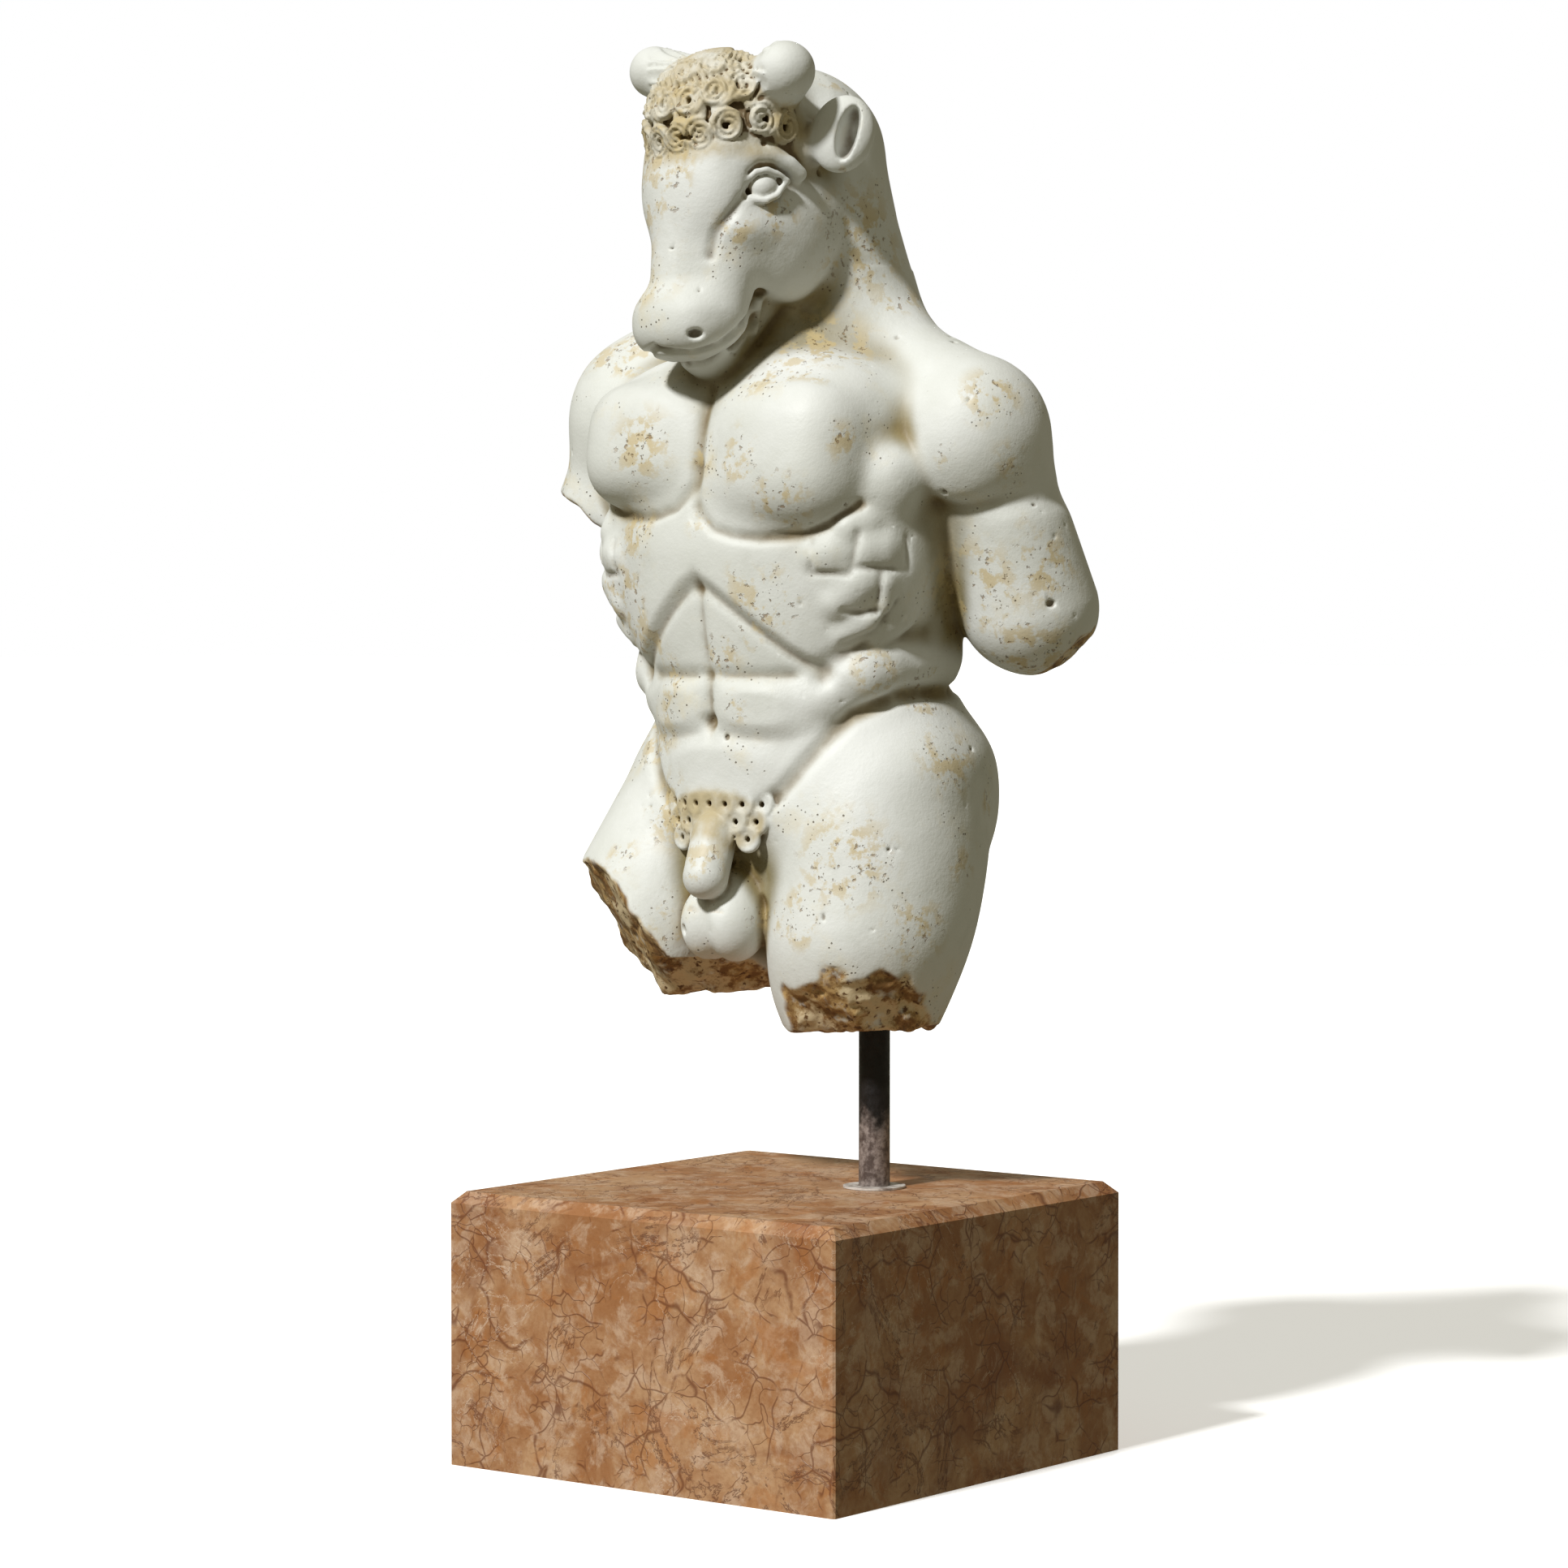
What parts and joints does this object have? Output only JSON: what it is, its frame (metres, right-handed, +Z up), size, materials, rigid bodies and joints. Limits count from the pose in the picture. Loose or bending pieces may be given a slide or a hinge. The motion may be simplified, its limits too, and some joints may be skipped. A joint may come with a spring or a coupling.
{
  "type": "minotaur statue",
  "caption": "Weathered stone torso of a bull-headed figure, limbs broken short, held on a slim steel post above a square stone plinth.",
  "frame": {"origin": "centre of the plinth's underside, on the floor it stands on", "axes": "+Z up, -Y towards the front of the plinth and of the torso, +X to the figure's left"},
  "size_m": [0.4471, 0.36, 1.0638],
  "materials": {
    "carved_stone": "worn, honed, pitted and stained",
    "post_steel": "blackened, satin",
    "ring_steel": "blackened, satin",
    "plinth_stone": "honed"
  },
  "bodies": {
    "root": {"statue": "carved_stone", "post": "post_steel", "foot_ring": "ring_steel", "plinth": "plinth_stone"}
  },
  "joints": []
}
